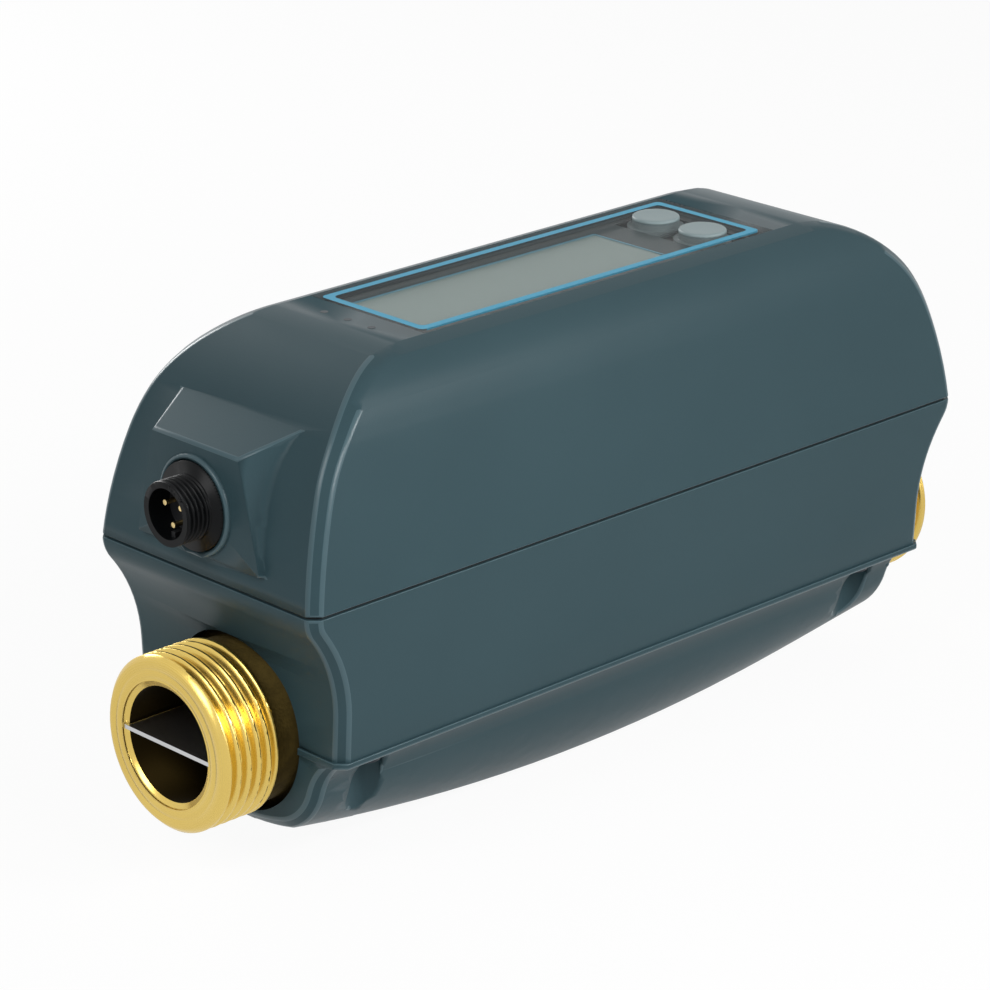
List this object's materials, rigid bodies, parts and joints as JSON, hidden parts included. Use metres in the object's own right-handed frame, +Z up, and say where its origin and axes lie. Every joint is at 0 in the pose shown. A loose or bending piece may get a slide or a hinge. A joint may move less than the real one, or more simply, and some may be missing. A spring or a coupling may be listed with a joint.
{
  "type": "smart water valve",
  "caption": "In-line ultrasonic water meter and motor ball valve: a threaded brass pipe through a plastic case with a display window, round keys and a round signal connector.",
  "frame": {"origin": "centre of the inlet end face, on the pipe's axis", "axes": "+X along the pipe in the direction of flow, +Z up through the display window"},
  "size_m": [0.19, 0.0596, 0.0963],
  "materials": {
    "housing": "fine satin texture",
    "brass": "machined",
    "steel": "machined",
    "rubber": "matte",
    "window_glass": "gloss",
    "trim_blue": "gloss",
    "key_grey": "satin",
    "lcd": "gloss",
    "black_plastic": "satin",
    "connector_metal": "satin black",
    "contact": "plated",
    "circuit_board": "satin",
    "white_plastic": "satin",
    "seat_plastic": "smooth",
    "gear_plastic": "smooth",
    "cell_wrap": "gloss"
  },
  "bodies": {
    "case": {"upper_cover": "housing", "mid_case": "housing", "bottom_cover": "housing", "cover_gasket": "rubber", "pipe_body": "brass", "outlet_adapter": "brass", "divider_plate": "steel", "pipe_seals": "rubber", "transducers": "black_plastic", "transducer_seals": "rubber", "transducer_clamps": "steel", "clamp_screws": "steel", "flow_mirrors": "steel", "ball_seats": "seat_plastic", "gland_nut": "brass", "gear_motor": "steel", "gear_axles": "steel", "gearbox_base": "black_plastic", "gearbox_lid": "black_plastic", "gearbox_screws": "steel", "limit_switches": "black_plastic", "connector_shell": "connector_metal", "connector_insert": "black_plastic", "connector_pins": "contact", "connector_nut": "steel", "connector_ring": "rubber", "window_glass": "window_glass", "window_trim": "trim_blue", "lcd_panel": "lcd", "lcd_holder": "white_plastic", "key_switches": "black_plastic", "display_board": "circuit_board", "main_board": "circuit_board", "board_parts": "black_plastic", "radio_module": "steel", "board_screws": "steel", "battery_cells": "cell_wrap", "battery_tray": "black_plastic", "battery_contacts": "steel", "case_screws": "steel", "cover_screws": "steel"},
    "valve": {"valve_ball": "steel", "valve_stem": "steel", "stem_rings": "rubber", "output_gear": "gear_plastic", "position_cam": "white_plastic"},
    "second_gear": {"second_gear": "gear_plastic"},
    "first_gear": {"first_gear": "gear_plastic"},
    "motor_rotor": {"motor_pinion": "brass", "motor_shaft": "steel"},
    "near_key": {"near_key": "key_grey", "near_key_plunger": "black_plastic"},
    "far_key": {"far_key": "key_grey", "far_key_plunger": "black_plastic"}
  },
  "joints": [
    {"name": "valve_turn", "type": "hinge", "parent": "case", "child": "valve", "pos_m": [0.14, 0, 0], "axis": [0, 0, 1], "range_deg": [0, 90]},
    {"name": "second_gear_spin", "type": "hinge", "parent": "case", "child": "second_gear", "pos_m": [0.12545, 0.0084, 0], "axis": [0, 0, 1], "range_deg": [-270, 0]},
    {"name": "first_gear_spin", "type": "hinge", "parent": "case", "child": "first_gear", "pos_m": [0.1181, -0.00433, 0], "axis": [0, 0, 1], "range_deg": [0, 675]},
    {"name": "motor_spin", "type": "hinge", "parent": "case", "child": "motor_rotor", "pos_m": [0.1034, -0.00433, 0], "axis": [0, 0, 1], "range_deg": [-1687.5, 0]},
    {"name": "near_key_press", "type": "slide", "parent": "case", "child": "near_key", "axis": [0, 0, -1], "range_m": [0, 0.0005], "stiffness_N_per_m": 800, "springref_m": -0.0005},
    {"name": "far_key_press", "type": "slide", "parent": "case", "child": "far_key", "axis": [0, 0, -1], "range_m": [0, 0.0005], "stiffness_N_per_m": 800, "springref_m": -0.0005}
  ],
  "couplings": [
    {"joint": "second_gear_spin", "follows": "valve_turn", "ratio": -3},
    {"joint": "first_gear_spin", "follows": "valve_turn", "ratio": 7.5},
    {"joint": "motor_spin", "follows": "valve_turn", "ratio": -18.75}
  ]
}
